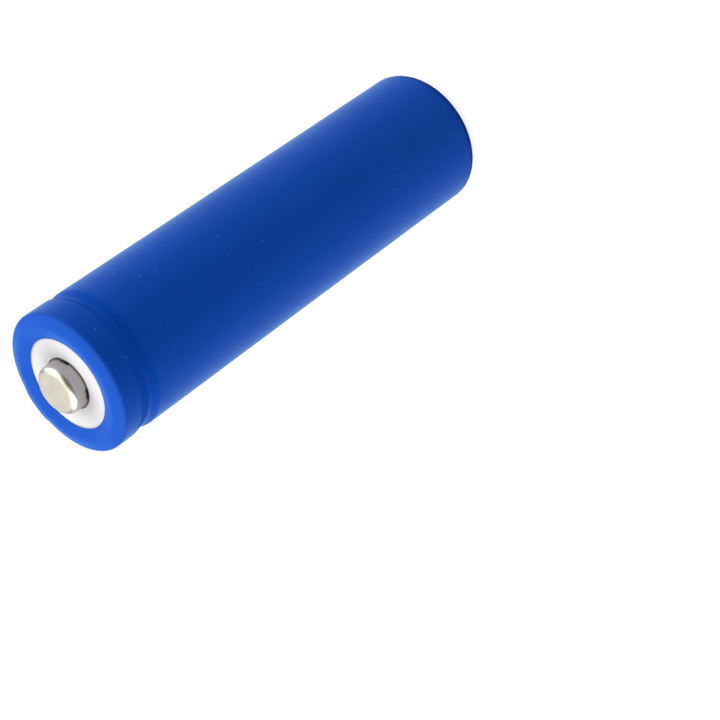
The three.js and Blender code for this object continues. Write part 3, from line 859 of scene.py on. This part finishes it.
def paint_cans_and_strips():
    steel = grained(
        "drawn_steel",
        dark=(0.36, 0.36, 0.35),
        light=(0.55, 0.55, 0.53),
        size=0.3,
        roughness=0.28,
        spread=0.14,
        bump=0.004,
        stretch=ALONG_THE_CELL,
        Metallic=1.0,
    )
    steel.paint(*nodes("steel_can", "top_cap", "center_pin"))
    aluminium = grained(
        "rolled_aluminium",
        dark=(0.62, 0.63, 0.65),
        light=(0.78, 0.79, 0.81),
        size=0.15,
        roughness=0.32,
        spread=0.14,
        bump=0.003,
        stretch=ACROSS_THE_CELL,
        Metallic=1.0,
    )
    aluminium.paint(*nodes("vent_diaphragm", "weld_plate", "positive_tab"))
    strip = grained(
        "nickel_strip",
        dark=(0.50, 0.47, 0.40),
        light=(0.66, 0.62, 0.54),
        size=0.12,
        roughness=0.30,
        spread=0.16,
        bump=0.003,
        stretch=ALONG_THE_CELL,
        Metallic=1.0,
    )
    strip.paint(*nodes("negative_tab", "negative_link", "sense_strip"))


def paint_plastics():
    milky = grained(
        "milky_plastic",
        dark=(0.62, 0.65, 0.66),
        light=(0.74, 0.77, 0.77),
        size=1.8,
        roughness=0.38,
        spread=0.1,
        bump=0.003,
    )
    milky.paint(*nodes("crimp_gasket", "cid_insulator", "board_spacer"))
    carbon = grained(
        "carbon_polymer",
        dark=(0.012, 0.012, 0.013),
        light=(0.06, 0.058, 0.055),
        size=0.1,
        roughness=0.55,
        spread=0.25,
        bump=0.01,
    )
    carbon.paint(*nodes("ptc_ring"))
    separator = grained(
        "separator_film",
        dark=(0.74, 0.76, 0.77),
        light=(0.84, 0.86, 0.87),
        size=0.6,
        roughness=0.42,
        spread=0.12,
        bump=0.003,
    )
    separator.paint(*nodes("separator_inner", "separator_outer"))
    amber = grained(
        "amber_tape",
        dark=(0.55, 0.27, 0.03),
        light=(0.72, 0.42, 0.08),
        size=3.0,
        roughness=0.22,
        spread=0.1,
        bump=0.004,
    )
    amber.paint(*nodes("roll_tape", "strip_insulator"))


def paint_coatings_and_papers():
    cathode = grained(
        "cathode_coating",
        dark=(0.012, 0.012, 0.014),
        light=(0.045, 0.043, 0.046),
        size=0.07,
        roughness=0.7,
        spread=0.2,
        bump=0.008,
    )
    cathode.paint(*nodes("cathode_sheet"))
    anode = grained(
        "anode_coating",
        dark=(0.035, 0.033, 0.032),
        light=(0.09, 0.082, 0.075),
        size=0.09,
        roughness=0.62,
        spread=0.2,
        bump=0.008,
    )
    anode.paint(*nodes("anode_sheet"))
    fibre_disc = grained(
        "pressed_insulator",
        dark=(0.60, 0.63, 0.58),
        light=(0.74, 0.76, 0.71),
        size=0.25,
        roughness=0.6,
        spread=0.2,
        bump=0.012,
    )
    fibre_disc.paint(*nodes("top_insulator", "bottom_insulator"))
    fish_paper = grained(
        "fish_paper",
        dark=(0.26, 0.29, 0.21),
        light=(0.40, 0.42, 0.32),
        size=0.2,
        roughness=0.75,
        spread=0.15,
        bump=0.015,
        stretch=ALONG_THE_PAPER,
    )
    fish_paper.paint(*nodes("board_insulator", "crimp_insulator"))


paint_cans_and_strips()
paint_plastics()
paint_coatings_and_papers()
print("painted the steel, foils, plastics, coatings and papers")

# %% [markdown]
# ## The protection board and its parts
# The board is glass cloth under green lacquer, so its colour follows a fine weave: two waves at right
# angles. The two chips are moulded in black epoxy with a faint grain. The small parts are ceramic
# with tinned ends, which are told from the body by how far a point lies from the part's middle.


# %% The board's finish
LACQUER_DARK = (0.006, 0.07, 0.028, 1)
LACQUER_LIGHT = (0.015, 0.13, 0.055, 1)
WEAVE = {"Scale": 0.9, "Distortion": 0.6, "Detail": 1.0}


def paint_board():
    board = Finish("green_laminate", Coat_Roughness=0.15)
    where = board.place()
    waves = []
    for direction in ("X", "Y"):
        settings = {"wave_type": "BANDS", "bands_direction": direction}
        waves.append(board.node("ShaderNodeTexWave", settings, {"Vector": where, **WEAVE}, output="Fac"))
    weave = waves[0] * 0.5 + waves[1] * 0.5
    board.set(Base_Color=board.blend(weave, LACQUER_DARK, LACQUER_LIGHT))
    board.set(Roughness=0.32 + weave * 0.12, Coat_Weight=0.3 + weave * 0.2)
    board.bump(weave, 0.01)
    board.paint(*nodes("protection_board"))


# %% Finishes of the small parts
RESISTOR_BLACK = (0.015, 0.015, 0.017, 1)
CAPACITOR_BROWN = (0.30, 0.19, 0.09, 1)
CERAMIC_GRAIN = (0.5, 0.42, 0.33, 1)
BRIGHT_TIN = (0.72, 0.72, 0.70, 1)
TINNED_FROM = 0.66  # shares of the way from a part's middle to its end
TINNED_FULL = 0.7


def paint_ceramic(name, body):
    """A ceramic part: the body's colour in the middle and tin on both ends."""
    low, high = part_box(name)
    middle, reach = (low.x + high.x) / 2 / MM, (high.x - low.x) / 2 / MM
    part = Finish(name + "_ceramic", IOR=1.6)
    where = part.place()
    away = part.node("ShaderNodeMath", {"operation": "ABSOLUTE"}, {0: part.along("X", where) - middle})
    tinned = away.rise(TINNED_FROM * reach, TINNED_FULL * reach)
    grain = part.noise(where, size=0.12, detail=3)
    ceramic = part.blend(grain * 0.3, body, CERAMIC_GRAIN)
    part.set(Base_Color=part.blend(tinned, ceramic, BRIGHT_TIN))
    part.set(Metallic=tinned, Roughness=0.45 + grain * 0.15 - tinned * 0.15)
    part.bump(grain, 0.006)
    part.paint(*nodes(name))


def paint_chips():
    epoxy = grained(
        "moulded_epoxy",
        dark=(0.008, 0.008, 0.009),
        light=(0.028, 0.028, 0.03),
        size=0.08,
        roughness=0.5,
        spread=0.2,
        bump=0.006,
    )
    epoxy.paint(*nodes("switch_transistor", "protection_chip"))


paint_board()
paint_chips()
paint_ceramic("resistor_1", RESISTOR_BLACK)
paint_ceramic("resistor_2", RESISTOR_BLACK)
paint_ceramic("capacitor", CAPACITOR_BROWN)
print("painted the board and its parts;", len(bpy.data.materials), "materials so far")

# %% [markdown]
# ## The studio
# The cell stands on a light table, a pale floor that glows a little, so that it looks white and
# throws soft light up at the cell. Four soft lights make a light tent: two high ones to the sides,
# whose reflections show on the button's edge with a darker line between them, one overhead and a weak
# one from the back.

# %% Floor
FLOOR_SIZE = 6
FLOOR_GREY = ((0.21, 0.21, 0.21, 1), (0.23, 0.23, 0.23, 1))
FLOOR_GLOW = ((0.97, 0.97, 0.97, 1), (1.0, 1.0, 1.0, 1))

bpy.ops.object.select_all(action="DESELECT")
bpy.ops.mesh.primitive_plane_add(size=FLOOR_SIZE)
floor = bpy.context.object
floor.name = "studio_floor"
table = Finish("light_table", Roughness=0.9, Specular_IOR_Level=0.1, Emission_Strength=0.85)
frost = table.noise(table.place(), size=60.0)
table.set(Base_Color=table.blend(frost, *FLOOR_GREY), Emission_Color=table.blend(frost, *FLOOR_GLOW))
table.paint(floor)
print("floor:", FLOOR_SIZE, "m across")


# %% Lights
def soft_light(name, power, size, direction, distance):
    """A square area light that faces the cell's middle. The camera doesn't see it."""
    target = Vector((0, 0, cad_high.z / 2))
    place = target + Vector(direction).normalized() * distance
    bpy.ops.object.light_add(type="AREA", location=place)
    light = bpy.context.object
    light.name = name
    light.data.energy = power
    light.data.size = size
    light.visible_camera = False
    light.rotation_euler = (target - place).to_track_quat("-Z", "Y").to_euler()
    print(name, "at", [round(x, 2) for x in place], "m")


soft_light("left_light", power=7.8, size=0.75, direction=(-0.77, 0.12, 0.62), distance=0.8)
soft_light("right_light", power=7.8, size=0.75, direction=(0.77, 0.12, 0.62), distance=0.8)
soft_light("overhead_light", power=2.7, size=0.9, direction=(0, 0.3, 1), distance=0.8)
soft_light("back_light", power=1.25, size=0.75, direction=(0, 0.9, 0.42), distance=0.9)

# %% [markdown]
# The air lights the cell only dimly, so that the lights give it its shape. A dim air would also be a
# dark wall behind the cell in low views, so a Light Path node gives rays from the camera a paler wall
# to look at.

# %% The air and the wall
WHITE = (1, 1, 1, 1)
AIR_STRENGTH = 0.1
WALL_STRENGTH = 0.9

world = bpy.data.worlds.new("studio_air")
world.use_nodes = True
air = Tree(world.node_tree)
background = air.nodes["Background"]
air.feed(background.inputs["Color"], WHITE)
air.feed(background.inputs["Strength"], AIR_STRENGTH)
dim_air = Wire(air, background.outputs[0])
pale_wall = air.node("ShaderNodeBackground", inputs={"Color": WHITE, "Strength": WALL_STRENGTH})
seen = air.node("ShaderNodeLightPath", output="Is Camera Ray")
mixed = air.node("ShaderNodeMixShader", inputs={0: seen, 1: dim_air, 2: pale_wall})
air.feed(air.nodes["World Output"].inputs["Surface"], mixed)
bpy.context.scene.world = world
bpy.context.scene.view_settings.view_transform = "Standard"
print("air", AIR_STRENGTH, "and wall", WALL_STRENGTH)
